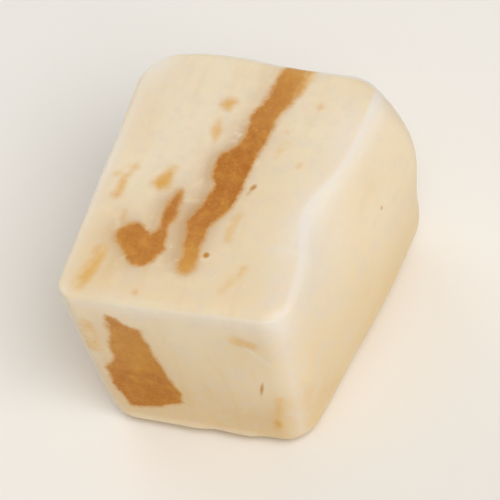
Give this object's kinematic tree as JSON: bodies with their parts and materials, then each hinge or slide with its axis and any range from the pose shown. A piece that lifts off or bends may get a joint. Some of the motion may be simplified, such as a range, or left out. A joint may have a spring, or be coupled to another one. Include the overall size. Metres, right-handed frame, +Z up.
{
  "type": "nougat block",
  "caption": "Hand-cut block of soft cream nougat marbled with toffee, crisp at its front top edge, with a swelling side, rounded corners and a flat base to rest on.",
  "frame": {"origin": "middle of the box around the block, on the flat base that it rests on", "axes": "+Z up out of the base; +Y from the front cut face to the back, along the longest side; +X towards the smooth swelling side"},
  "size_m": [0.026, 0.0314, 0.0211],
  "materials": {
    "nougat": "satin, waxy cream with toffee marbling"
  },
  "bodies": {
    "root": {"nougat_block": "nougat"}
  },
  "joints": []
}
